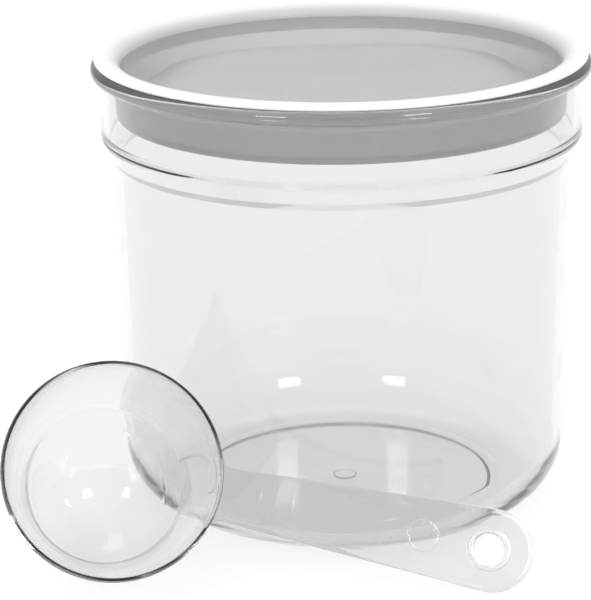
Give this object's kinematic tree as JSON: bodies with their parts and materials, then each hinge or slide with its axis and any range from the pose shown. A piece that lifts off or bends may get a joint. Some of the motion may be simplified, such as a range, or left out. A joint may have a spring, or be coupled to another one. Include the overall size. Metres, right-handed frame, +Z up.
{
  "type": "storage jar with scoop",
  "caption": "Round clear plastic storage jar with a grey push-in lid that has a raised grip, and a clear measuring scoop with a hanging hole leaning on it.",
  "frame": {"origin": "centre of the jar's foot, on the surface it stands on", "axes": "+Z up along the jar's axis; the scoop lies on the -Y side with its handle pointing to +X"},
  "size_m": [0.1468, 0.1529, 0.1197],
  "materials": {
    "clear_jar": "clear, polished",
    "grey_lid": "translucent grey, satin",
    "milky_seal": "milky, soft",
    "clear_scoop": "clear, polished"
  },
  "bodies": {
    "jar": {"canister_body": "clear_jar"},
    "lid": {"lid_cover": "grey_lid", "lid_seal": "milky_seal"},
    "scoop": {"scoop": "clear_scoop"}
  },
  "joints": [
    {"name": "lid_lift", "type": "slide", "parent": "jar", "child": "lid", "axis": [0, 0, 1], "range_m": [0, 0.08]},
    {"name": "scoop_lift", "type": "slide", "parent": "jar", "child": "scoop", "axis": [0, -0.7071, 0.7071], "range_m": [0, 0.12]}
  ]
}
